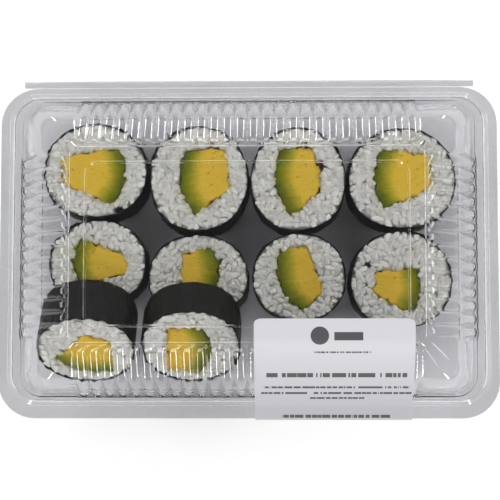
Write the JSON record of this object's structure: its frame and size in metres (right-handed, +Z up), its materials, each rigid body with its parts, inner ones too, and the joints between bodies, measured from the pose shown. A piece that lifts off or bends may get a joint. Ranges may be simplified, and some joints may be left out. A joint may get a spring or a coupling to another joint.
{
  "type": "takeaway sushi tray",
  "caption": "Clear ribbed clamshell pack with a hinged lid, filled with cut avocado maki rolls, with a paper label folded over its front edge.",
  "frame": {"origin": "centre of the pack's bounding box at the level of the surface it stands on", "axes": "+X along the pack's long side to the label's end, +Y from the opening edge to the hinge, +Z up"},
  "size_m": [0.187, 0.128, 0.0453],
  "materials": {
    "clear_plastic": "clear, glossy, thermoformed",
    "label_paper": "smooth white label paper with plain printed bars",
    "nori": "dark seaweed sheet, slightly wrinkled",
    "rice": "moist cooked rice",
    "avocado": "soft flesh, yellow to green"
  },
  "bodies": {
    "tray": {"tray": "clear_plastic", "hinge_strip": "clear_plastic", "roll_01_nori": "nori", "roll_01_rice": "rice", "roll_01_avocado": "avocado", "roll_02_nori": "nori", "roll_02_rice": "rice", "roll_02_avocado": "avocado", "roll_03_nori": "nori", "roll_03_rice": "rice", "roll_03_avocado": "avocado", "roll_04_nori": "nori", "roll_04_rice": "rice", "roll_04_avocado": "avocado", "roll_05_nori": "nori", "roll_05_rice": "rice", "roll_05_avocado": "avocado", "roll_06_nori": "nori", "roll_06_rice": "rice", "roll_06_avocado": "avocado", "roll_07_nori": "nori", "roll_07_rice": "rice", "roll_07_avocado": "avocado", "roll_08_nori": "nori", "roll_08_rice": "rice", "roll_08_avocado": "avocado", "roll_09_nori": "nori", "roll_09_rice": "rice", "roll_09_avocado": "avocado", "roll_10_nori": "nori", "roll_10_rice": "rice", "roll_10_avocado": "avocado"},
    "lid": {"lid": "clear_plastic", "label": "label_paper"}
  },
  "joints": [
    {"name": "lid_hinge", "type": "hinge", "parent": "tray", "child": "lid", "pos_m": [0, 0.06338, 0.02375], "axis": [-1, 0, 0], "range_deg": [0, 170]}
  ]
}
